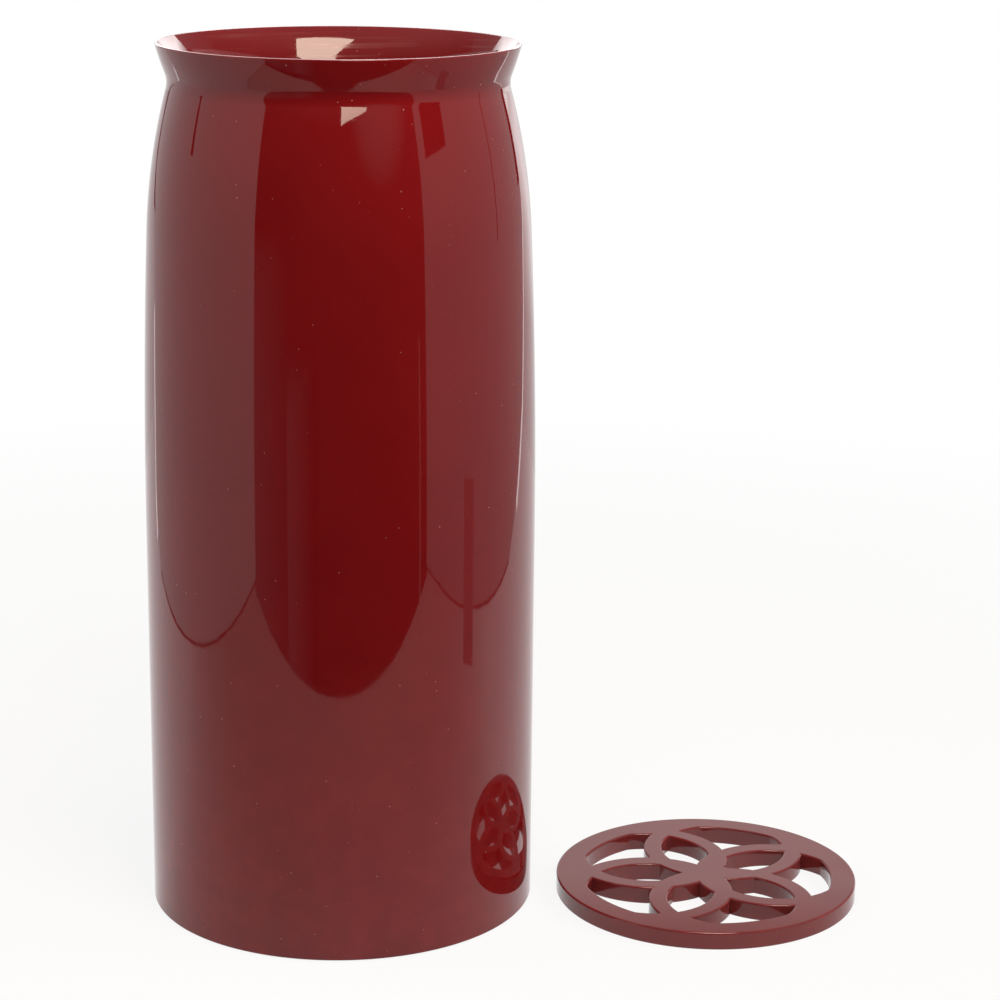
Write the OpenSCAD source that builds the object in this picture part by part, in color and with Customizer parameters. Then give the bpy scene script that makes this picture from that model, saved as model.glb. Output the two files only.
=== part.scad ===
// Tall lacquered stand for rolled drawings, with a loose pierced disc that drops into its mouth.
// The vessel stands upright on the origin. The disc lies flat on the table beside it, towards +X.

/* [Vessel] */
// Height from the table to the top of the lip
vessel_h = 500; // [440:5:560]
// Outer radius of the straight lower wall
body_r = 112; // [108:0.5:120]
// Thickness of the straight wall
wall_t = 8; // [6:0.5:10]
// Rounding of the sharp lower edge of the wall
base_edge_r = 0.8; // [0.4:0.1:2]

/* [Shoulder and neck] */
// Radius of the long slow arc in which the shoulder begins
slow_arc_r = 3870; // [3000:10:4500]
// Lean of the wall where the slow arc ends, in degrees
slow_lean = 2.6; // [2:0.1:3]
// Radius of the quicker arc that follows it
quick_arc_r = 360; // [320:5:400]
// Lean of the wall where the quick arc ends, in degrees
neck_lean = 15.2; // [14:0.1:16]
// Radius of the hollow that turns the wall outwards at the neck
neck_hollow_r = 14; // [10:0.5:18]

/* [Mouth] */
// Height of the flared mouth above the neck
mouth_h = 21.7; // [19:0.1:26]
// Lean of the outside of the flare, in degrees
flare_lean = 19.5; // [18:0.5:21]
// Lean to which the flare eases back below the lip, in degrees
lip_lean = 14.5; // [13:0.5:18]
// Radius of the slow arc in which it eases back
flare_ease_r = 135; // [80:5:150]
// Thickness of the thin rounded lip
lip_t = 1.4; // [1:0.1:3]
// Radius of the slow arc in which the inside of the flare opens
inner_flare_r = 60; // [50:5:200]
// Thickness of the mouth ring at the neck, outside the seat for the disc
neck_wall_t = 5.8; // [5.4:0.1:7]
// Thickness of the spigot with which the mouth ring stands in the wall
spigot_t = 2.9; // [2.4:0.1:3.2]

/* [Disc seat] */
// Depth of the seat below the neck
seat_depth = 13.3; // [12.5:0.1:16]
// Length of the straight bore above the seat
seat_bore_l = 12; // [11:0.5:12.5]
// Width of the ledge that the disc rests on
seat_ledge_w = 5.5; // [3:0.5:8]
// Height of the seat ring
seat_ring_h = 8; // [6:0.5:12]
// Play round the disc when it lies in its seat
seat_play = 0.5; // [0.3:0.1:1]

/* [Bottom] */
// Thickness of the bottom board
board_t = 12; // [9:0.5:18]
// Width of the rebate that the board is let into
board_rebate_w = 3; // [2:0.5:4]
// Thickness of the felt under the board
felt_t = 2; // [1.5:0.1:3]
// How far the felt stands out below the foot of the wall
felt_proud = 0.5; // [0.3:0.1:1]
// Width of the bare margin between the felt and the outside of the wall
felt_margin = 12; // [8:0.5:20]

/* [Pierced disc] */
// Thickness of the disc
disc_t = 10.5; // [8:0.5:11]
// Width of the plain rim
disc_rim_w = 14.6; // [12:0.1:16]
// Distance from the middle of the disc to the middle of each interlaced ring
rosette_r = 41.5; // [40:0.5:43]
// Width of each petal opening, where two neighbouring rings cross
petal_w = 25.5; // [20:0.5:27]
// Rounding of the disc's outer edges
disc_edge_r = 0.6; // [0.3:0.1:1.5]
// Distance from the middle of the vessel to the middle of the disc on the table
disc_distance = 216.5; // [212:0.5:300]

/* [Hidden] */
$fn = 128;

lacquer = [0.40, 0.045, 0.055];
felt_green = [0.10, 0.12, 0.10];

// Gap left for glue round a piece that is let into another
glue_gap = 0.1;
// How far a cutting shape runs past the face that it cuts
cut_past = 1;
// Steps in which an arc of each outline is drawn
long_arc_steps = 8;
small_arc_steps = 6;

// Heights of the outline, from the neck downwards
neck_z = vessel_h - mouth_h;
hollow_z = neck_z - neck_hollow_r * sin(neck_lean);
quick_arc_z = hollow_z - quick_arc_r * (sin(neck_lean) - sin(slow_lean));
shoulder_z = quick_arc_z - slow_arc_r * sin(slow_lean);
// Radii of the outline, from the wall inwards to the neck
quick_arc_x = body_r - slow_arc_r * (1 - cos(slow_lean));
hollow_x = quick_arc_x - quick_arc_r * (cos(slow_lean) - cos(neck_lean));
neck_r = hollow_x - neck_hollow_r * (1 - cos(neck_lean));

// Seat for the disc
bore_r = neck_r - neck_wall_t;
disc_r = bore_r - seat_play;
seat_z = neck_z - seat_depth;
bore_top_z = seat_z + seat_bore_l;
ring_bed_z = seat_z - seat_ring_h;
socket_r = bore_r + spigot_t + glue_gap;

// Inside of the wall: it thickens below the neck to give the seat ring its bed
inner_r = body_r - wall_t;
bed_w = 3.5;
bed_inner_r = socket_r - bed_w;
bed_h = 9;
thickening_h = 50;
thickening_in = inner_r - bed_inner_r;
thickening_turn = 2 * atan(thickening_in / thickening_h);
thickening_arc_r = thickening_h / sin(thickening_turn);
thickening_z = ring_bed_z - bed_h - thickening_h;

// Bottom
board_top_z = felt_t + board_t;
rebate_r = inner_r + board_rebate_w;
felt_r = body_r - felt_margin;

// Lip: a full round that closes the outer and the inner flare
lip_r = lip_t / 2;
lip_z = vessel_h - lip_r;
// Outer flare: straight above the hollow of the neck, then an arc that eases back to the lip
flare_x = neck_r + neck_hollow_r * (1 - cos(flare_lean));
flare_z = neck_z + neck_hollow_r * sin(flare_lean);
ease_z = lip_z - lip_r * sin(lip_lean) - flare_ease_r * (sin(flare_lean) - sin(lip_lean));
ease_x = flare_x + (ease_z - flare_z) * tan(flare_lean);
ease_centre = [ease_x, ease_z] - flare_ease_r * [cos(flare_lean), -sin(flare_lean)];
lip_x = ease_centre[0] + (flare_ease_r - lip_r) * cos(lip_lean);
// Inner flare: an arc that leaves the bore at one lean and runs into the lip at another
flare_foot = [bore_r, bore_top_z];
flare_run = [lip_x, lip_z] - flare_foot;
foot_reach = (flare_run * flare_run - lip_r * lip_r) / (2 * inner_flare_r) + lip_r;
foot_lean = acos(foot_reach / norm(flare_run)) - atan2(flare_run[1], flare_run[0]);
inner_flare_centre = flare_foot + inner_flare_r * [cos(foot_lean), -sin(foot_lean)];
lip_run = [lip_x, lip_z] - inner_flare_centre;
inner_lip_lean = 180 - atan2(lip_run[1], lip_run[0]);

// Pierced disc: equal rings set round in a circle, which cross in petals and run into the rim
ring_count = 5;
ring_step = 360 / ring_count;
rim_inner_r = disc_r - disc_rim_w;
ring_inner_r = (petal_w + 2 * rosette_r * sin(ring_step / 2)) / 2;
rim_overlap = 0.6;
tip_run = rim_inner_r + rim_overlap - rosette_r * cos(ring_step / 2);
ring_outer_r = norm([rosette_r * sin(ring_step / 2), tip_run]);

// Points of an arc about a centre, from one angle to another
function arc(centre, r, from, to, steps) =
    [for (i = [0:steps]) let (a = from + (to - from) * i / steps) centre + r * [cos(a), sin(a)]];

// Outside of the wall, from its lower edge up to the neck
function wall_outside() = concat(
    arc([body_r - base_edge_r, felt_proud + base_edge_r], base_edge_r, -90, 0, small_arc_steps),
    arc([body_r - slow_arc_r, shoulder_z], slow_arc_r, 0, slow_lean, long_arc_steps),
    arc([quick_arc_x - quick_arc_r * cos(slow_lean), quick_arc_z - quick_arc_r * sin(slow_lean)],
        quick_arc_r, slow_lean, neck_lean, long_arc_steps),
    arc([neck_r + neck_hollow_r, neck_z], neck_hollow_r, 180 + neck_lean, 180, small_arc_steps)
);

// Inside of the wall, from the socket of the mouth ring down to the rebate for the board
function wall_inside() = concat(
    [[socket_r, neck_z], [socket_r, ring_bed_z], [bed_inner_r, ring_bed_z]],
    arc([inner_r - thickening_arc_r, thickening_z], thickening_arc_r, thickening_turn, 0, long_arc_steps),
    [[inner_r, board_top_z], [rebate_r, board_top_z], [rebate_r, felt_proud]]
);

// Section of the mouth ring: outer flare, lip, inner flare, bore and spigot
function mouth_section() = concat(
    arc([neck_r + neck_hollow_r, neck_z], neck_hollow_r, 180, 180 - flare_lean, small_arc_steps),
    arc(ease_centre, flare_ease_r, -flare_lean, -lip_lean, small_arc_steps),
    arc([lip_x, lip_z], lip_r, -lip_lean, 180 - inner_lip_lean, 2 * small_arc_steps),
    arc(inner_flare_centre, inner_flare_r, 180 - inner_lip_lean, 180 - foot_lean, small_arc_steps),
    [[bore_r, seat_z], [bore_r + spigot_t, seat_z], [bore_r + spigot_t, neck_z]]
);

// Plate with both outer edges rounded
module round_plate(r, t, edge_r) {
    rotate_extrude()
        polygon(concat(
            [[0, t], [0, 0]],
            arc([r - edge_r, edge_r], edge_r, -90, 0, small_arc_steps),
            arc([r - edge_r, t - edge_r], edge_r, 0, 90, small_arc_steps)
        ));
}

// One of the interlaced rings, about its own middle
module ring_outline() {
    difference() {
        circle(r = ring_outer_r);
        circle(r = ring_inner_r);
    }
}

// What is cut away inside the rim: all but the rings, the first of which points to +X
module piercing_outline() {
    difference() {
        circle(r = rim_inner_r);
        for (i = [0:ring_count - 1])
            rotate(i * ring_step)
                translate([rosette_r, 0])
                    ring_outline();
    }
}

module base_felt() {
    color(felt_green)
        cylinder(r = felt_r, h = felt_t);
}

module bottom_board() {
    color(lacquer)
        translate([0, 0, felt_t])
            round_plate(rebate_r - glue_gap, board_t, base_edge_r);
}

module body_wall() {
    color(lacquer)
        rotate_extrude()
            polygon(concat(wall_outside(), wall_inside()));
}

module seat_ring() {
    color(lacquer)
        translate([0, 0, ring_bed_z])
            difference() {
                cylinder(r = socket_r - glue_gap, h = seat_ring_h);
                translate([0, 0, -cut_past])
                    cylinder(r = bore_r - seat_ledge_w, h = seat_ring_h + 2 * cut_past);
            }
}

module mouth_ring() {
    color(lacquer)
        rotate_extrude()
            polygon(mouth_section());
}

module grille_disc() {
    color(lacquer)
        translate([disc_distance, 0, 0])
            difference() {
                round_plate(disc_r, disc_t, disc_edge_r);
                translate([0, 0, -cut_past])
                    linear_extrude(disc_t + 2 * cut_past)
                        piercing_outline();
            }
}

base_felt();
bottom_board();
body_wall();
seat_ring();
mouth_ring();
grille_disc();
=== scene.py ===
import cmath
import math

import bmesh
import bpy
from mathutils import Matrix, Vector


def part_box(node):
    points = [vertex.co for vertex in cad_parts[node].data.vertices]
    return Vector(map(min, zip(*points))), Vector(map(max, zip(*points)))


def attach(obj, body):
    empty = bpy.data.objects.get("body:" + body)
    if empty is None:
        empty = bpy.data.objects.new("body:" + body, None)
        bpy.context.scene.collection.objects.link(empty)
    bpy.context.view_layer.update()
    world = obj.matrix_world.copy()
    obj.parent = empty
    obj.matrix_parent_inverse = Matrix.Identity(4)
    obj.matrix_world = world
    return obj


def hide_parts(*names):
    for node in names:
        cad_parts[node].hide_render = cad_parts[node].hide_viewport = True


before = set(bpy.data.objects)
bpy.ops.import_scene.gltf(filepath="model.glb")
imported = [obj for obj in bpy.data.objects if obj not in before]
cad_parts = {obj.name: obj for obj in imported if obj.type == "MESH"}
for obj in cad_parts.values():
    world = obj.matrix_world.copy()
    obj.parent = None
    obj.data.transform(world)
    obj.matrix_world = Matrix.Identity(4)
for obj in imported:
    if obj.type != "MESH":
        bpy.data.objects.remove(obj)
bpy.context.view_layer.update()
scene = bpy.context.scene


# Base felt
# A disc of dense wool felt, cut out with a punch and glued under the bottom board. It stands half a
# millimetre proud of the foot of the wall, so that the lacquer never touches the table.
felt_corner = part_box("base_felt")[1]
felt_r, felt_t = felt_corner.x, felt_corner.z
felt_soft_edge = 0.0006
felt_dark, felt_light, lint_pale = (0.012, 0.018, 0.012, 1), (0.035, 0.046, 0.032, 1), (0.16, 0.17, 0.14, 1)
wool_scale, lint_scale, lint_size = 900.0, 220.0, 0.14
nap_h, nap_strength = 0.0004, 0.8
crease = math.radians(30)


def arc(x, z, r, start, end, steps):
    """Points (radius, height) of an arc about (x, z), from one angle in degrees to another."""
    turns = [math.radians(start + (end - start) * i / steps) for i in range(steps + 1)]
    return [(x + r * math.cos(a), z + r * math.sin(a)) for a in turns]


def turned(name, outline, worn_and_sheen=(), reach=0.002, segments=256, least=1e-7):
    """A solid turned about the axis of the vessel from a closed outline of (radius, height) points.
    Near each point of the outline listed in worn, the attribute edge_rub_and_sheen rises to 1: the lacquer
    pales there, partly as wear and partly as a painted highlight."""
    spun = [o for i, o in enumerate(outline) if math.dist(o, outline[i - 1]) > least]
    rings, verts, rub = [], [], []
    for r, z in spun:
        count = segments if r > least else 1
        rings.append([len(verts) + i for i in range(count)])
        verts += [(r * math.cos(a), r * math.sin(a), z)
                  for a in (math.tau * i / segments for i in range(count))]
        near = min([math.dist((r, z), w) for w in worn_and_sheen], default=reach)
        rub += [max(0.0, 1 - near / reach)] * count
    faces = []
    for low, high in zip(rings, rings[1:] + rings[:1]):
        for i in range(segments if len(low) + len(high) > 2 else 0):
            corners = [low[i % len(low)], low[(i + 1) % len(low)],
                       high[(i + 1) % len(high)], high[i % len(high)]]
            faces.append(list(dict.fromkeys(corners)))
    mesh = bpy.data.meshes.new(name)
    mesh.from_pydata(verts, [], faces)
    mesh.attributes.new("edge_rub_and_sheen", "FLOAT", "POINT").data.foreach_set("value", rub)
    shaped = bmesh.new()
    shaped.from_mesh(mesh)
    bmesh.ops.recalc_face_normals(shaped, faces=shaped.faces)
    shaped.to_mesh(mesh)
    shaped.free()
    mesh.shade_smooth()
    mesh.set_sharp_from_angle(angle=crease)
    piece = bpy.data.objects.new(name, mesh)
    scene.collection.objects.link(piece)
    true_normals = piece.modifiers.new("true_normals", "WEIGHTED_NORMAL")
    true_normals.keep_sharp = True
    return piece


def add(tree, kind, inputs=(), **settings):
    """Adds a node, sets its properties, and fills each input with a value or with another node's output."""
    made = tree.nodes.new(kind)
    for key, value in settings.items():
        setattr(made, key, value)
    for key, value in dict(inputs).items():
        if isinstance(value, bpy.types.NodeSocket):
            tree.links.new(value, made.inputs[key])
        else:
            made.inputs[key].default_value = value
    return made


def maths(tree, operation, *values):
    """The result of one step of arithmetic on the values."""
    return add(tree, "ShaderNodeMath", dict(enumerate(values)), operation=operation).outputs[0]


def ramp(tree, value, start, end, low=0.0, high=1.0, **settings):
    """A value that runs from start to end, made to run from low to high."""
    spans = {0: value, 1: start, 2: end, 3: low, 4: high}
    return add(tree, "ShaderNodeMapRange", spans, **settings).outputs[0]


def blend(tree, share, first, second):
    """Two colours, mixed by the share of the second."""
    return add(tree, "ShaderNodeMix", {0: share, 6: first, 7: second}, data_type="RGBA").outputs[2]


def noise(tree, place, scale, detail):
    """A cloudy value about one half, always the same at the same place."""
    return add(tree, "ShaderNodeTexNoise", {"Vector": place, "Scale": scale, "Detail": detail}).outputs["Fac"]


def effect(name, inputs, outputs):
    """An empty node group with the named sockets, and its input and output nodes."""
    tree = bpy.data.node_groups.new(name, "ShaderNodeTree")
    for direction, sockets in (("INPUT", inputs), ("OUTPUT", outputs)):
        for socket, kind in sockets.items():
            tree.interface.new_socket(socket, in_out=direction, socket_type="NodeSocket" + kind)
    return tree, tree.nodes.new("NodeGroupInput").outputs, tree.nodes.new("NodeGroupOutput").inputs


def placed(tree, group, inputs):
    """The outputs of a node group, placed in a material with its own values."""
    return add(tree, "ShaderNodeGroup", inputs, node_tree=group).outputs


def new_finish(name):
    """A new material with its tree, its shader and the place on the piece in metres."""
    material = bpy.data.materials.new(name)
    material.use_nodes = True
    tree = material.node_tree
    return material, tree, tree.nodes["Principled BSDF"], add(tree, "ShaderNodeTexCoord").outputs["Object"]


# Two tones that drift into each other over the surface, as in felt, or in lacquer laid on in many coats
mottle, given, out = effect("mottle", {"Place": "Vector", "Scale": "Float", "Low": "Color", "High": "Color"},
                            {"Color": "Color", "Height": "Float"})
drift = noise(mottle, given["Place"], scale=given["Scale"], detail=4.0)
tones = blend(mottle, ramp(mottle, drift, start=0.35, end=0.65), given["Low"], given["High"])
mottle.links.new(tones, out["Color"])
mottle.links.new(drift, out["Height"])

# Grains of dust, some paler than others, where the middle of a cell of a loose pattern meets the surface
dust, given, out = effect("dust", {"Place": "Vector", "Scale": "Float", "Size": "Float"}, {"Mask": "Float"})
grains = add(dust, "ShaderNodeTexVoronoi", {"Vector": given["Place"], "Scale": given["Scale"]}).outputs
away = maths(dust, "DIVIDE", grains["Distance"], given["Size"])
grain = ramp(dust, away, start=0.6, end=1.0, low=1.0, high=0.0)
chance = add(dust, "ShaderNodeSeparateColor", {0: grains["Color"]}).outputs[0]
pale = maths(dust, "POWER", chance, 2.0)
dust.links.new(maths(dust, "MULTIPLY", grain, pale), out["Mask"])

green_felt, tree, shader, place = new_finish("green_felt")
wool = placed(tree, mottle, {"Place": place, "Scale": wool_scale, "Low": felt_dark, "High": felt_light})
lint = placed(tree, dust, {"Place": place, "Scale": lint_scale, "Size": lint_size})
nap = add(tree, "ShaderNodeBump", {"Height": wool["Height"], "Distance": nap_h, "Strength": nap_strength})
tree.links.new(blend(tree, lint["Mask"], wool["Color"], lint_pale), shader.inputs["Base Color"])
tree.links.new(nap.outputs["Normal"], shader.inputs["Normal"])
shader.inputs["Roughness"].default_value = 0.95
shader.inputs["Sheen Weight"].default_value = 0.3

felt_outline = (
    [(0, 0)]
    + arc(felt_r - felt_soft_edge, felt_soft_edge, felt_soft_edge, -90, 0, steps=4)
    + arc(felt_r - felt_soft_edge / 2, felt_t - felt_soft_edge / 2, felt_soft_edge / 2, 0, 90, steps=3)
    + [(0, felt_t)]
)
base_felt = turned("base_felt_pad", felt_outline)
base_felt.data.materials.append(green_felt)
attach(base_felt, "vessel")
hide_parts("base_felt")


# Bottom board
# A round board of wood, turned, lacquered on both faces and glued into a rebate in the foot of the wall.
# The lacquer is many thin coats of dark red, each rubbed flat, and the last one polished to a full gloss.
board_lo, board_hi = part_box("bottom_board")
board_r, board_edge_r = board_hi.x, 0.0008
vessel_deep, vessel_lit = (0.132, 0.0034, 0.0046, 1), (0.143, 0.0040, 0.0052, 1)
# A paler red for rubbed edges: partly wear, partly a painted highlight on them
lacquer_thin_and_sheen = (0.27, 0.016, 0.016, 1)
# Grey of dust, and the paler colour of the scuff marks in the mouth, which is partly a painted glint
dust_and_glint_grey = (0.30, 0.13, 0.12, 1)
coat_scale, dust_scale = 16.0, 150.0
dust_dullness = 0.5
peel_h = 0.000008
wipe_stretch, hairline_stretch = (1.0, 1.0, 0.25), (14, 14, 2400)


def stretched(tree, place, factors):
    """The place with each axis multiplied, so that a pattern runs long along one and short along another."""
    return add(tree, "ShaderNodeVectorMath", {0: place, 1: factors}, operation="MULTIPLY").outputs[0]


# Where hands and other pieces rub an edge, the colour thins, in patches. The paler colour there is partly
# wear and partly a painted highlight along the eased edges.
edge_rub_and_sheen, given, out = effect("edge_rub_and_sheen", {"Place": "Vector", "Edge": "Float", "Amount": "Float"},
                              {"Mask": "Float"})
patches = noise(edge_rub_and_sheen, given["Place"], scale=70.0, detail=5.0)
patchy = ramp(edge_rub_and_sheen, patches, start=0.42, end=0.62)
on_edge = maths(edge_rub_and_sheen, "MULTIPLY", patchy, given["Edge"])
edge_rub_and_sheen.links.new(maths(edge_rub_and_sheen, "MULTIPLY", on_edge, given["Amount"]), out["Mask"])

# The polish: a full gloss with faint wiped patches, hairlines round the axis and a trace of orange peel
polish, given, out = effect("polish", {"Place": "Vector", "Gloss": "Float", "Haze": "Float"},
                            {"Roughness": "Float", "Height": "Float"})
clouds = noise(polish, stretched(polish, given["Place"], wipe_stretch), scale=22.0, detail=5.0)
cloudy = ramp(polish, clouds, start=0.4, end=0.75, low=given["Gloss"], high=given["Haze"])
strokes = noise(polish, stretched(polish, given["Place"], hairline_stretch), scale=1.0, detail=2.0)
hairline = ramp(polish, strokes, start=0.60, end=0.72, high=0.10)
polish.links.new(maths(polish, "ADD", cloudy, hairline), out["Roughness"])
polish.links.new(noise(polish, given["Place"], scale=160.0, detail=1.0), out["Height"])


def red_lacquer(name, deep, lit, gloss, haze, rub, grain_size):
    """Dark red lacquer: its two tones, how glossy and how hazy it is, how far its edges are rubbed, and the
    size of the dust on it. The rubbed edges are paler: partly wear, partly a painted highlight."""
    material, tree, shader, place = new_finish(name)
    coats = placed(tree, mottle, {"Place": place, "Scale": coat_scale, "Low": deep, "High": lit})
    edge = add(tree, "ShaderNodeAttribute", attribute_name="edge_rub_and_sheen").outputs["Fac"]
    worn_and_sheen = placed(tree, edge_rub_and_sheen, {"Place": place, "Edge": edge, "Amount": rub})
    specks = placed(tree, dust, {"Place": place, "Scale": dust_scale, "Size": grain_size})
    polished = placed(tree, polish, {"Place": place, "Gloss": gloss, "Haze": haze})
    thin_and_sheen = blend(tree, worn_and_sheen["Mask"], coats["Color"], lacquer_thin_and_sheen)
    roughness = maths(tree, "MULTIPLY_ADD", specks["Mask"], dust_dullness, polished["Roughness"])
    peel = add(tree, "ShaderNodeBump", {"Height": polished["Height"], "Distance": peel_h, "Strength": 1.0})
    tree.links.new(blend(tree, specks["Mask"], thin_and_sheen, dust_and_glint_grey), shader.inputs["Base Color"])
    tree.links.new(roughness, shader.inputs["Roughness"])
    tree.links.new(peel.outputs["Normal"], shader.inputs["Normal"])
    shader.inputs["IOR"].default_value = 1.5
    return material


vessel_lacquer = red_lacquer("vessel_lacquer", vessel_deep, vessel_lit, gloss=0.020, haze=0.045, rub=0.35,
                             grain_size=0.07)
board_outline = (
    [(0, board_lo.z)]
    + arc(board_r - board_edge_r, board_lo.z + board_edge_r, board_edge_r, -90, 0, steps=6)
    + arc(board_r - board_edge_r, board_hi.z - board_edge_r, board_edge_r, 0, 90, steps=6)
    + [(0, board_hi.z)]
)
bottom_board = turned("bottom_board_lacquered", board_outline)
bottom_board.data.materials.append(vessel_lacquer)
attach(bottom_board, "vessel")
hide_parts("bottom_board")


# Body wall
# A tall round wall of wood, turned or coopered and turned true, straight below and drawn in to the neck above
# by a slow arc and a quicker one. It thickens inside under the neck, and is lacquered inside and out.
wall_lo, wall_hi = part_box("body_wall")
seat_lo, seat_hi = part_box("seat_ring")
body_r, foot_z, neck_z = wall_hi.x, wall_lo.z, wall_hi.z
wall_t, rebate_w, foot_edge_r = 0.008, 0.003, 0.0008
slow_arc_r, slow_lean = 3.870, 2.6
quick_arc_r, neck_lean = 0.360, 15.2
hollow_r = 0.014
glue_gap, bed_w, bed_h, thickening_h = 0.0001, 0.0035, 0.009, 0.050


def sin(degrees):
    return math.sin(math.radians(degrees))


def cos(degrees):
    return math.cos(math.radians(degrees))


hollow_z = neck_z - hollow_r * sin(neck_lean)
quick_arc_z = hollow_z - quick_arc_r * (sin(neck_lean) - sin(slow_lean))
shoulder_z = quick_arc_z - slow_arc_r * sin(slow_lean)
quick_arc_x = body_r - slow_arc_r * (1 - cos(slow_lean))
neck_r = quick_arc_x - quick_arc_r * (cos(slow_lean) - cos(neck_lean)) - hollow_r * (1 - cos(neck_lean))
socket_r, bed_z = seat_hi.x + glue_gap, seat_lo.z
inner_r = body_r - wall_t
bed_r = socket_r - bed_w
thickening_z = bed_z - bed_h - thickening_h
thickening_turn = math.degrees(2 * math.atan2(inner_r - bed_r, thickening_h))
thickening_r = thickening_h / sin(thickening_turn)
wall_outline = (
    arc(body_r - foot_edge_r, foot_z + foot_edge_r, foot_edge_r, -90, 0, steps=8)
    + arc(body_r - slow_arc_r, shoulder_z, slow_arc_r, 0, slow_lean, steps=30)
    + arc(quick_arc_x - quick_arc_r * cos(slow_lean), quick_arc_z - quick_arc_r * sin(slow_lean),
          quick_arc_r, slow_lean, neck_lean, steps=40)
    + arc(neck_r + hollow_r, neck_z, hollow_r, 180 + neck_lean, 180, steps=20)
    + [(socket_r, neck_z), (socket_r, bed_z), (bed_r, bed_z)]
    + arc(inner_r - thickening_r, thickening_z, thickening_r, thickening_turn, 0, steps=24)
    + [(inner_r, board_hi.z), (inner_r + rebate_w, board_hi.z), (inner_r + rebate_w, foot_z)]
)
body_wall = turned("body_wall_lacquered", wall_outline, worn_and_sheen=[(body_r - foot_edge_r, foot_z)])
body_wall.data.materials.append(vessel_lacquer)
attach(body_wall, "vessel")
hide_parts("body_wall")


# Seat ring
# A flat ring of wood, glued on the bed inside the neck before the mouth ring goes in. Its inner part is the
# ledge that the pierced disc rests on.
ledge_w, seat_edge_r = 0.0055, 0.0004
spigot_t = 0.0029
bore_r = seat_hi.x - spigot_t
ledge_r = bore_r - ledge_w
seat_outline = (
    arc(ledge_r + seat_edge_r, seat_hi.z - seat_edge_r, seat_edge_r, 90, 180, steps=4)
    + arc(ledge_r + seat_edge_r, seat_lo.z + seat_edge_r, seat_edge_r, 180, 270, steps=4)
    + [(seat_hi.x, seat_lo.z), (seat_hi.x, seat_hi.z)]
)
seat_ring = turned("seat_ring_lacquered", seat_outline, worn_and_sheen=[(ledge_r, seat_hi.z)])
seat_ring.data.materials.append(vessel_lacquer)
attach(seat_ring, "vessel")
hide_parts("seat_ring")


# Mouth ring
# The flared mouth, turned from one ring of wood and drawn out to a thin round lip. Its spigot is glued into
# the top of the wall, and the joint is lacquered over, so that shoulder and flare run into each other.
mouth_lo, mouth_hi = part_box("mouth_ring")
bore_l = 0.012
flare_lean, lip_lean, flare_ease_r = 19.5, 14.5, 0.135
lip_r, inner_flare_r = 0.0007, 0.060
seat_z, bore_top_z = mouth_lo.z, mouth_lo.z + bore_l
lip_z = mouth_hi.z - lip_r
flare_x, flare_z = neck_r + hollow_r * (1 - cos(flare_lean)), neck_z + hollow_r * sin(flare_lean)
ease_z = lip_z - lip_r * sin(lip_lean) - flare_ease_r * (sin(flare_lean) - sin(lip_lean))
ease_x = flare_x + (ease_z - flare_z) * math.tan(math.radians(flare_lean)) - flare_ease_r * cos(flare_lean)
lip_x = ease_x + (flare_ease_r - lip_r) * cos(lip_lean)
lip_run = Vector((lip_x - bore_r, lip_z - bore_top_z))
foot_reach = (lip_run.length_squared - lip_r ** 2) / (2 * inner_flare_r) + lip_r
foot_lean = math.degrees(math.acos(foot_reach / lip_run.length) - math.atan2(lip_run.y, lip_run.x))
inner_x, inner_z = bore_r + inner_flare_r * cos(foot_lean), bore_top_z - inner_flare_r * sin(foot_lean)
inner_lean = 180 - math.degrees(math.atan2(lip_z - inner_z, lip_x - inner_x))
mouth_outline = (
    arc(neck_r + hollow_r, neck_z, hollow_r, 180, 180 - flare_lean, steps=24)
    + arc(ease_x, ease_z + flare_ease_r * sin(flare_lean), flare_ease_r, -flare_lean, -lip_lean, steps=16)
    + arc(lip_x, lip_z, lip_r, -lip_lean, 180 - inner_lean, steps=16)
    + arc(inner_x, inner_z, inner_flare_r, 180 - inner_lean, 180 - foot_lean, steps=24)
    + [(bore_r, seat_z), (bore_r + spigot_t, seat_z), (bore_r + spigot_t, neck_z)]
)
mouth_ring = turned("mouth_ring_lacquered", mouth_outline, worn_and_sheen=[(lip_x, mouth_hi.z)])

# Faint scuffing inside, where the disc is set in and turned: long scratches, a little off level, in patches.
# They are duller, and paler in colour: partly scuffing, partly a painted glint along them.
scuff_and_glint_amount, scuff_dullness = 0.5, 0.5
scuff_axis, scuff_tilt, scuff_stretch = (1.0, 0.3, 0.0), 0.05, (10, 10, 380)
mouth_lacquer = vessel_lacquer.copy()
mouth_lacquer.name = "mouth_lacquer"
tree = mouth_lacquer.node_tree
shader = tree.nodes["Principled BSDF"]
place = add(tree, "ShaderNodeTexCoord").outputs["Object"]
slanted = add(tree, "ShaderNodeVectorRotate", {"Vector": place, "Axis": scuff_axis, "Angle": scuff_tilt})
scratches = noise(tree, stretched(tree, slanted.outputs[0], scuff_stretch), scale=1.0, detail=2.0)
scratch = ramp(tree, scratches, start=0.56, end=0.74, high=scuff_and_glint_amount)
patchy = ramp(tree, noise(tree, place, scale=13.0, detail=2.0), start=0.38, end=0.62)
outward = stretched(tree, place, (1, 1, 0))
normal = add(tree, "ShaderNodeNewGeometry").outputs["Normal"]
facing = add(tree, "ShaderNodeVectorMath", {0: outward, 1: normal}, operation="DOT_PRODUCT")
inside = maths(tree, "LESS_THAN", facing.outputs["Value"], 0.0)
scuffs_and_glints = maths(tree, "MULTIPLY", maths(tree, "MULTIPLY", scratch, patchy), inside)
clean_colour, clean_roughness = (shader.inputs[s].links[0].from_socket for s in ("Base Color", "Roughness"))
scuffed_roughness = maths(tree, "MULTIPLY_ADD", scuffs_and_glints, scuff_dullness, clean_roughness)
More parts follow.
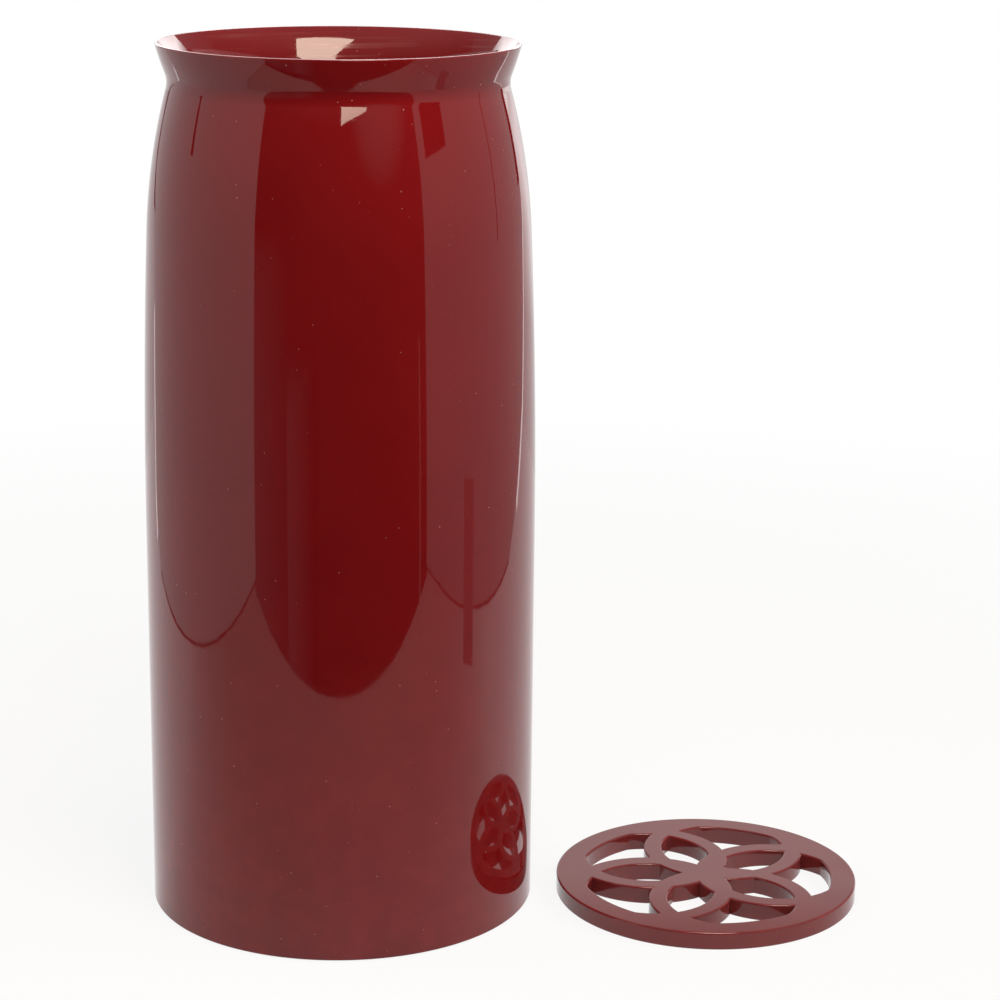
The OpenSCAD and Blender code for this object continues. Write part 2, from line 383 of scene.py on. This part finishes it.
# Paler where scuffed: partly scuffing, partly a painted glint
tree.links.new(blend(tree, scuffs_and_glints, clean_colour, dust_and_glint_grey), shader.inputs["Base Color"])
tree.links.new(scuffed_roughness, shader.inputs["Roughness"])
mouth_ring.data.materials.append(mouth_lacquer)
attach(mouth_ring, "vessel")
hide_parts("mouth_ring")


# Pierced disc
# A loose disc of wood, sawn out in a rosette of interlaced rings, its edges eased with abrasive and lacquered
# like the vessel. It lies on the table here, and drops into the mouth onto the seat ring.
disc_lo, disc_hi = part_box("grille_disc")
disc_middle = (disc_lo + disc_hi) / 2
disc_r, disc_t = (disc_hi.x - disc_lo.x) / 2, disc_hi.z - disc_lo.z
disc_edge_r, disc_rim_w, disc_segments = 0.0010, 0.0146, 256
ring_count, rosette_r, petal_w, rim_overlap = 5, 0.0415, 0.0255, 0.0006
disc_deep, disc_lit = (0.146, 0.016, 0.017, 1), (0.160, 0.021, 0.022, 1)
same_point, same_lean = 1e-6, 1e-3
half_step = math.pi / ring_count
rim_inner_r = disc_r - disc_rim_w
ring_inner_r = petal_w / 2 + rosette_r * math.sin(half_step)
tip_run = rim_inner_r + rim_overlap - rosette_r * math.cos(half_step)
ring_outer_r = math.hypot(rosette_r * math.sin(half_step), tip_run)


def ring_middle(i):
    """The middle of one of the interlaced rings, as a complex point."""
    return rosette_r * cmath.exp(2j * half_step * i)


def crossing(a, a_r, b, b_r, side):
    """Where two circles about the complex points a and b cross: to the left of the way from a to b, where
    side is 1, or to the right, where it is -1."""
    apart = abs(b - a)
    along = (a_r ** 2 - b_r ** 2 + apart ** 2) / (2 * apart)
    return a + (b - a) / apart * complex(along, side * math.sqrt(a_r ** 2 - along ** 2))


def bowed(middle, start, end, steps):
    """Points of the shorter arc about middle from start up to, but not with, end."""
    turn = cmath.phase((end - middle) / (start - middle))
    return [middle + (start - middle) * cmath.exp(1j * turn * s / steps) for s in range(steps)]


def petal(steps=20):
    """The opening where the rings 0 and 1 cross, cut short at its inner end by the rings beside them."""
    before, here, after, beyond = (ring_middle(i) for i in (-1, 0, 1, 2))
    tip = crossing(here, ring_inner_r, after, ring_inner_r, -1)
    upper = crossing(here, ring_inner_r, beyond, ring_outer_r, -1)
    root = crossing(before, ring_outer_r, beyond, ring_outer_r, -1)
    lower = crossing(after, ring_inner_r, before, ring_outer_r, 1)
    return (bowed(here, tip, upper, steps) + bowed(beyond, upper, root, steps)
            + bowed(before, root, lower, steps) + bowed(after, lower, tip, steps))


def field(steps=20):
    """The opening inside ring 0, between the rings beside it and the rim."""
    before, here, after = (ring_middle(i) for i in (-1, 0, 1))
    root = crossing(before, ring_outer_r, after, ring_outer_r, -1)
    left = crossing(here, ring_inner_r, after, ring_outer_r, -1)
    right = crossing(here, ring_inner_r, before, ring_outer_r, 1)
    rim_left = crossing(here, ring_inner_r, 0, rim_inner_r, -1)
    rim_right = crossing(here, ring_inner_r, 0, rim_inner_r, 1)
    return (bowed(after, root, left, steps) + bowed(here, left, rim_left, steps)
            + bowed(0, rim_left, rim_right, steps) + bowed(here, rim_right, right, steps)
            + bowed(before, right, root, steps))


sawn = bpy.data.curves.new("disc_outlines", "CURVE")
sawn.dimensions, sawn.fill_mode = "2D", "BOTH"
sawn.extrude, sawn.bevel_depth, sawn.bevel_resolution = disc_t / 2 - disc_edge_r, disc_edge_r, 3
sawn.offset = -disc_edge_r
outlines = [[disc_r * cmath.exp(1j * math.tau * i / disc_segments) for i in range(disc_segments)]]
for opening in (petal(), field()):
    for i in range(ring_count):
        outlines.append([p * cmath.exp(2j * half_step * i) for p in opening])
for outline in outlines:
    spline = sawn.splines.new("POLY")
    spline.points.add(len(outline) - 1)
    spline.use_cyclic_u = True
    for point, p in zip(spline.points, outline):
        point.co = (p.real, p.imag, 0, 1)
template = bpy.data.objects.new("disc_template", sawn)
scene.collection.objects.link(template)
disc_mesh = bpy.data.meshes.new_from_object(template.evaluated_get(bpy.context.evaluated_depsgraph_get()))
bpy.data.objects.remove(template)
disc_mesh.transform(Matrix.Translation(disc_middle))
shaped = bmesh.new()
shaped.from_mesh(disc_mesh)
bmesh.ops.remove_doubles(shaped, verts=shaped.verts, dist=same_point)
bmesh.ops.recalc_face_normals(shaped, faces=shaped.faces)
# Points on the eased edges are marked for the paler lacquer: partly wear, partly a painted highlight
eased = shaped.verts.layers.float.new("edge_rub_and_sheen")
for f in shaped.faces:
    f.smooth = True
for e in shaped.edges:
    flat_or_upright = [min(abs(f.normal.z), 1 - abs(f.normal.z)) < same_lean for f in e.link_faces]
    e.smooth = all(flat_or_upright) == any(flat_or_upright) and e.calc_face_angle(0) < crease
for v in shaped.verts:
    v[eased] = float(all(same_lean < abs(f.normal.z) < 1 - same_lean for f in v.link_faces))
shaped.to_mesh(disc_mesh)
shaped.free()
disc_lacquer = red_lacquer("disc_lacquer", disc_deep, disc_lit, gloss=0.045, haze=0.09, rub=0.4,
                           grain_size=0.05)
disc_mesh.materials.clear()
disc_mesh.materials.append(disc_lacquer)
grille_disc = bpy.data.objects.new("grille_disc_lacquered", disc_mesh)
scene.collection.objects.link(grille_disc)
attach(grille_disc, "grille")
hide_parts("grille_disc")


# Table
# A plain white table top. To the eye it is nearly as white as the background, with only the soft shadow of
# the object on it. In the gloss of the lacquer it darkens towards its front edge, which shows there: painted
# shade.
table_front_left, table_front_right, table_back, table_side = -0.681, -0.461, 2.5, 2.5
table_white = (0.85, 0.85, 0.85, 1)
glow_near, glow_far = 0.86, 1.0
glow_near_r, glow_far_r = 0.5, 1.3
gloss_dark_y, gloss_light_y = -0.45, 0.0
gloss_share_front, gloss_level_front = 0.35, 0.15


def sheet(name, *corners):
    """One flat sheet, from its corners in turn."""
    mesh = bpy.data.meshes.new(name)
    mesh.from_pydata(corners, [], [range(len(corners))])
    piece = bpy.data.objects.new(name, mesh)
    scene.collection.objects.link(piece)
    return piece


table_top = sheet("table_top", (-table_side, table_front_left, 0), (table_side, table_front_right, 0),
                  (table_side, table_back, 0), (-table_side, table_back, 0))
table_finish, tree, shader, place = new_finish("table_white")
shader.inputs["Base Color"].default_value = table_white
shader.inputs["Roughness"].default_value = 0.9
shader.inputs["Specular IOR Level"].default_value = 0.0
path = add(tree, "ShaderNodeLightPath").outputs
away = add(tree, "ShaderNodeVectorMath", {0: place}, operation="LENGTH").outputs["Value"]
seen = maths(tree, "MAXIMUM", path["Is Camera Ray"], path["Is Transmission Ray"])
glow_share = ramp(tree, away, glow_near_r, glow_far_r, low=glow_near, high=glow_far)
seen_share = maths(tree, "MULTIPLY", seen, glow_share)
back = add(tree, "ShaderNodeSeparateXYZ", {0: place}).outputs["Y"]
# Painted shade: in the gloss, the front of the table is darker
gloss_share = ramp(tree, back, gloss_dark_y, gloss_light_y, low=gloss_share_front)
gloss_level = ramp(tree, back, gloss_dark_y, gloss_light_y, low=gloss_level_front)
share = maths(tree, "MULTIPLY_ADD", path["Is Glossy Ray"], gloss_share, seen_share)
level = add(tree, "ShaderNodeMix", {0: path["Is Glossy Ray"], 2: 1.0, 3: gloss_level}).outputs[0]
glow = add(tree, "ShaderNodeEmission", {"Color": (1, 1, 1, 1), "Strength": level})
mixed = add(tree, "ShaderNodeMixShader", {0: share, 1: shader.outputs[0], 2: glow.outputs[0]})
tree.links.new(mixed.outputs[0], tree.nodes["Material Output"].inputs["Surface"])
table_top.data.materials.append(table_finish)


# Studio
# A light tent: a white screen on each side, with a bright and a dark gap along its far edge, a white
# background with light above it, a warm soft box high up in front with a weaker lamp on each side, and a
# dark room behind the camera.
white, warm = (1.0, 1.0, 1.0), (1.0, 0.87, 0.71)
dark = 0.02
screen_lines = {"left": ((-0.586, -0.615), (-0.672, 0.50)), "right": ((0.697, -0.558), (0.757, 0.35))}
shade_gap_h, shade_gap_nearer = 0.003, 0.002
gap_nearer, gap_across_y, gap_across_z = 0.004, 0.022, -0.017
pole_nearer = 0.006


def screen(name, corners, levels, lights_object=False, colour=white, shown_in=()):
    """A lit sheet, with a level at each of its corners, that shows in gloss but not to the camera. Where the
    pieces that it is shown in are given, it adds to what they mirror, and the others look through it."""
    piece = sheet(name, *corners)
    piece.data.attributes.new("level", "FLOAT", "POINT").data.foreach_set("value", levels)
    material = bpy.data.materials.new(name)
    material.use_nodes = True
    tree = material.node_tree
    tree.nodes.clear()
    level = add(tree, "ShaderNodeAttribute", attribute_name="level").outputs["Fac"]
    light = add(tree, "ShaderNodeEmission", {"Color": (*colour, 1), "Strength": level}).outputs[0]
    if shown_in:
        receivers = bpy.data.collections.new(name + "_shown_in")
        for shown in shown_in:
            receivers.objects.link(shown)
        piece.light_linking.receiver_collection = receivers
        material.cycles.emission_sampling = "NONE"
        clear = add(tree, "ShaderNodeBsdfTransparent").outputs[0]
        light = add(tree, "ShaderNodeAddShader", {0: light, 1: clear}).outputs[0]
    tree.links.new(light, add(tree, "ShaderNodeOutputMaterial").inputs["Surface"])
    piece.data.materials.append(material)
    piece.visible_camera = False
    piece.visible_shadow = False
    piece.visible_diffuse = lights_object


def on_screen(side, places, nearer=0.0):
    """Places (y, z) on the plane in which a side screen stands, or a little nearer than it."""
    (x0, y0), (x1, y1) = screen_lines[side]
    line = [(x0 + (x1 - x0) * (y - y0) / (y1 - y0), y, z) for y, z in places]
    return [(x - math.copysign(nearer, x), y, z) for x, y, z in line]


def strip(places, across_y, across_z):
    """Outline of a strip along the far edge of a screen."""
    return places + [(y + across_y, z + across_z) for y, z in reversed(places)]


def side_screen(side, low_edge, high_edge, top, foot_level, top_level, gap_level, dark_w):
    """The screen on one side, its foot in painted shade, and along its far edge a bright gap with a dark one
    above it.
    """
    front, back = screen_lines[side][0][1], low_edge[0][0]
    outline = [(front, 0), *low_edge, *high_edge, (front, top)]
    levels = [foot_level + (top_level - foot_level) * z / top for y, z in outline]
    screen(side + "_screen", on_screen(side, outline), levels, lights_object=True)
    # A dark strip along the foot: painted shade for the gap between the screen and the table
    foot = [(front, 0), (back, 0), (back, shade_gap_h), (front, shade_gap_h)]
    screen(side + "_foot", on_screen(side, foot, shade_gap_nearer), [dark] * 4)
    low_gap = strip(low_edge[1:], gap_across_y, gap_across_z)
    screen(side + "_bright_gap", on_screen(side, low_gap, gap_nearer), [gap_level] * len(low_gap))
    high_gap = strip(high_edge, -dark_w, 0)
    screen(side + "_dark_gap", on_screen(side, high_gap, gap_nearer), [dark] * len(high_gap))


def upright(y, left, right, foot, left_top, right_top):
    """Corners of an upright sheet across the room: left and right foot, right and left top."""
    return [(left, y, foot), (right, y, foot), (right, y, right_top), (left, y, left_top)]


side_screen("left",
            low_edge=[(0.40, 0), (0.466, 0.025), (0.492, 0.06), (0.496, 0.13), (0.54, 0.23)],
            high_edge=[(0.70, 0.32), (0.80, 0.348), (0.93, 0.38), (0.985, 0.45), (0.985, 0.84)],
            top=0.84, foot_level=0.72, top_level=0.85, gap_level=2.5, dark_w=0.10)
side_screen("right",
            low_edge=[(0.33, 0), (0.486, 0.035), (0.70, 0.10), (0.836, 0.185), (0.94, 0.27), (0.955, 0.32)],
            high_edge=[(0.96, 0.36), (0.96, 0.54), (0.95, 0.95)],
            top=0.95, foot_level=0.48, top_level=0.78, gap_level=2.8, dark_w=0.14)
for side, name, outline in (
        ("left", "pole", [(0.006, 0.495), (0.032, 0.495), (0.046, 0.60), (0.030, 0.60)]),
        ("right", "pole", [(0.186, 0.33), (0.196, 0.33), (0.202, 0.62), (0.192, 0.62)]),
        ("right", "flag", [(-0.478, 0.598), (-0.261, 0.591), (-0.250, 0.70), (-0.475, 0.755)])):
    screen(side + "_" + name, on_screen(side, outline, pole_nearer), [dark] * 4)
for name, front, back, foot, top, level in (
        ("stand", (0.580, -0.175), (0.580, -0.105), 0, 0.155, 0.28),
        ("right_screen_frame", (0.692, -0.629), (0.691, -0.639), -0.05, 0.24, 0.5)):
    screen(name, [(*front, foot), (*back, foot), (*back, top), (*front, top)], [level] * 4)

# The background and its soft upper edge. The light above it and on its right shows in the vessel alone.
background_y, background_w = 1.0, 1.3
for name, foot, top, foot_level, top_level in (
        ("background", 0, 0.43, 0.9, 0.9), ("background_edge", 0.43, 0.50, 0.9, 0.3)):
    screen(name, upright(background_y, -background_w, background_w, foot, top, top),
           [foot_level, foot_level, top_level, top_level])
band_y, band_foot = 0.99, 0.58
band_columns = [(-1.15, 0.915, 0.0), (-0.6, 1.035, 4.2), (0.0, 1.01, 0.8), (0.5, 0.965, 5.0),
                (0.85, 0.94, 0.0)]
for i, columns in enumerate(zip(band_columns, band_columns[1:])):
    (left, left_top, left_level), (right, right_top, right_level) = columns
    screen(f"background_band_{i + 1}", upright(band_y, left, right, band_foot, left_top, right_top),
           [left_level, right_level, right_level, left_level], shown_in=[body_wall, mouth_ring])
screen("background_right",
       upright(band_y, left=0.25, right=0.85, foot=0.15, left_top=0.56, right_top=0.56),
       [0.0, 0.0, 1.9, 0.1], shown_in=[body_wall])

# A strip of light overhead, shown in the mouth ring alone, which draws the pale line along its lip
overhead_z, overhead_front = 1.5, 0.12
overhead_columns = [(-0.75, -1.35, 2.3, 6.0), (-0.45, -0.60, 1.7, 4.5), (0.2, 0.2, 1.5, 12.0),
                    (0.45, 0.60, 1.7, 5.5), (0.6, 1.08, 2.3, 7.5)]
for i, columns in enumerate(zip(overhead_columns, overhead_columns[1:])):
    (left, left_far, left_back, left_level), (right, right_far, right_back, right_level) = columns
    screen(f"overhead_{i + 1}",
           [(left, overhead_front, overhead_z), (right, overhead_front, overhead_z),
            (right_far, right_back, overhead_z), (left_far, left_back, overhead_z)],
           [left_level, right_level, right_level, left_level], shown_in=[mouth_ring])

# Grey cards to the left of the camera, which fade out above the height of the table
card_y, card_foot = -1.5, -0.8
for name, left, right, top, left_level, right_level in (
        ("room_card_left", -1.55, -0.745, 0.45, 0.22, 0.08),
        ("room_card_middle", -0.735, -0.25, 0.16, 0.22, 0.0)):
    screen(name, upright(card_y, left, right, card_foot, 0, 0),
           [left_level, right_level, right_level, left_level])
    screen(name + "_top", upright(card_y, left, right, 0, top, top), [left_level, right_level, 0, 0])

# The soft box as the gloss shows it, dimmer along its lower edge
soft_box_place = Vector((0.308, -0.949, 1.232))
soft_box_across, soft_box_upward = Vector((0.951, 0.309, 0.0)), Vector((-0.186, 0.572, 0.799))
soft_box_level, soft_box_low = 13.5, 8.0
for name, edge, levels in (
        ("soft_box_low", [(-0.286, -0.41), (0.07, -0.362), (0.37, -0.05), (-0.20, -0.04)],
         [soft_box_low, soft_box_low, soft_box_level, soft_box_level]),
        ("soft_box_high", [(-0.20, -0.04), (0.37, -0.05), (0.36, 0.46), (-0.39, 0.50)],
         [soft_box_level] * 4)):
    screen(name, [soft_box_place + u * soft_box_across + v * soft_box_upward for u, v in edge], levels,
           colour=warm)


def lamp(name, place, aim, roll, size, level):
    """A rectangular lamp of an even level, whose light falls on the object but doesn't show in its gloss."""
    light = bpy.data.lights.new(name, "AREA")
    light.shape, light.color = "RECTANGLE", warm
    light.size, light.size_y = size
    light.energy = level * math.pi * size[0] * size[1]
    holder = bpy.data.objects.new(name, light)
    turn = (Vector(aim) - Vector(place)).to_track_quat("-Z", "Y").to_matrix().to_4x4()
    holder.matrix_world = Matrix.Translation(place) @ turn @ Matrix.Rotation(math.radians(roll), 4, "Z")
    holder.visible_camera = False
    holder.visible_glossy = False
    scene.collection.objects.link(holder)


lamp("soft_box", place=(0.16, -0.45, 1.05), aim=(0, 0, 0.42), roll=15, size=(0.40, 0.45), level=12.6)
lamp("right_fill", place=(1.3, -0.25, 1.0), aim=(0, 0, 0.3), roll=0, size=(0.9, 0.9), level=5.0)
lamp("left_fill", place=(-1.3, 0.25, 1.0), aim=(0, 0, 0.3), roll=0, size=(0.9, 0.9), level=2.7)

# The room itself: white behind the table, dark in front, lighter round the soft box and towards the ceiling
room_dark, ceiling_level, halo_level, ambient_level, upper_level = 0.03, 0.5, 0.35, 0.30, 0.35
back_rise, upper_fall, ceiling_rise, halo_rise = (0.20, 0.35), (0.20, 0.34), (0.34, 0.77), (0.93, 0.995)
to_soft_box = (0.45, -0.77, 0.45)
world = bpy.data.worlds.new("studio")
scene.world = world
world.use_nodes = True
tree = world.node_tree
toward = add(tree, "ShaderNodeTexCoord").outputs["Generated"]
axes = add(tree, "ShaderNodeSeparateXYZ", {0: toward}).outputs
dimmed = ramp(tree, axes["Z"], *upper_fall, low=1.0, high=upper_level)
behind = maths(tree, "MULTIPLY", ramp(tree, axes["Y"], *back_rise), dimmed)
ceiling = ramp(tree, axes["Z"], *ceiling_rise, low=room_dark, high=ceiling_level)
near_lamp = add(tree, "ShaderNodeVectorMath", {0: toward, 1: to_soft_box}, operation="DOT_PRODUCT")
halo = ramp(tree, near_lamp.outputs["Value"], *halo_rise, high=halo_level, interpolation_type="SMOOTHSTEP")
room = maths(tree, "MAXIMUM", behind, maths(tree, "MAXIMUM", ceiling, halo))
path = add(tree, "ShaderNodeLightPath").outputs
in_gloss = maths(tree, "MAXIMUM", path["Is Glossy Ray"], path["Is Transmission Ray"])
ambient = add(tree, "ShaderNodeMix", {0: in_gloss, 2: ambient_level, 3: room}).outputs[0]
level = add(tree, "ShaderNodeMix", {0: path["Is Camera Ray"], 2: ambient, 3: 1.0}).outputs[0]
tree.links.new(level, tree.nodes["Background"].inputs["Strength"])
tree.nodes["Background"].inputs["Color"].default_value = (1, 1, 1, 1)


# Camera
# A long lens, 1.6 m in front of the vessel and a little above its rim, turned down to take in the disc.
camera_place = Vector((0.1069, -1.5384, 0.6414))
yaw, pitch, roll = -0.568, 14.657, -0.559
lens_mm, sensor_mm = 99.25, 36.0
ahead = Vector((sin(yaw) * cos(pitch), cos(yaw) * cos(pitch), -sin(pitch)))
right = Vector((cos(yaw), -sin(yaw), 0))
down = ahead.cross(right)
tilted_right, tilted_down = cos(roll) * right + sin(roll) * down, cos(roll) * down - sin(roll) * right
optics = bpy.data.cameras.new("camera")
optics.lens, optics.sensor_width, optics.sensor_fit = lens_mm, sensor_mm, "HORIZONTAL"
camera = bpy.data.objects.new("camera", optics)
scene.collection.objects.link(camera)
turn = Matrix((tilted_right, -tilted_down, -ahead)).transposed()
camera.matrix_world = Matrix.Translation(camera_place) @ turn.to_4x4()
scene.camera = camera
scene.view_settings.view_transform = "Standard"
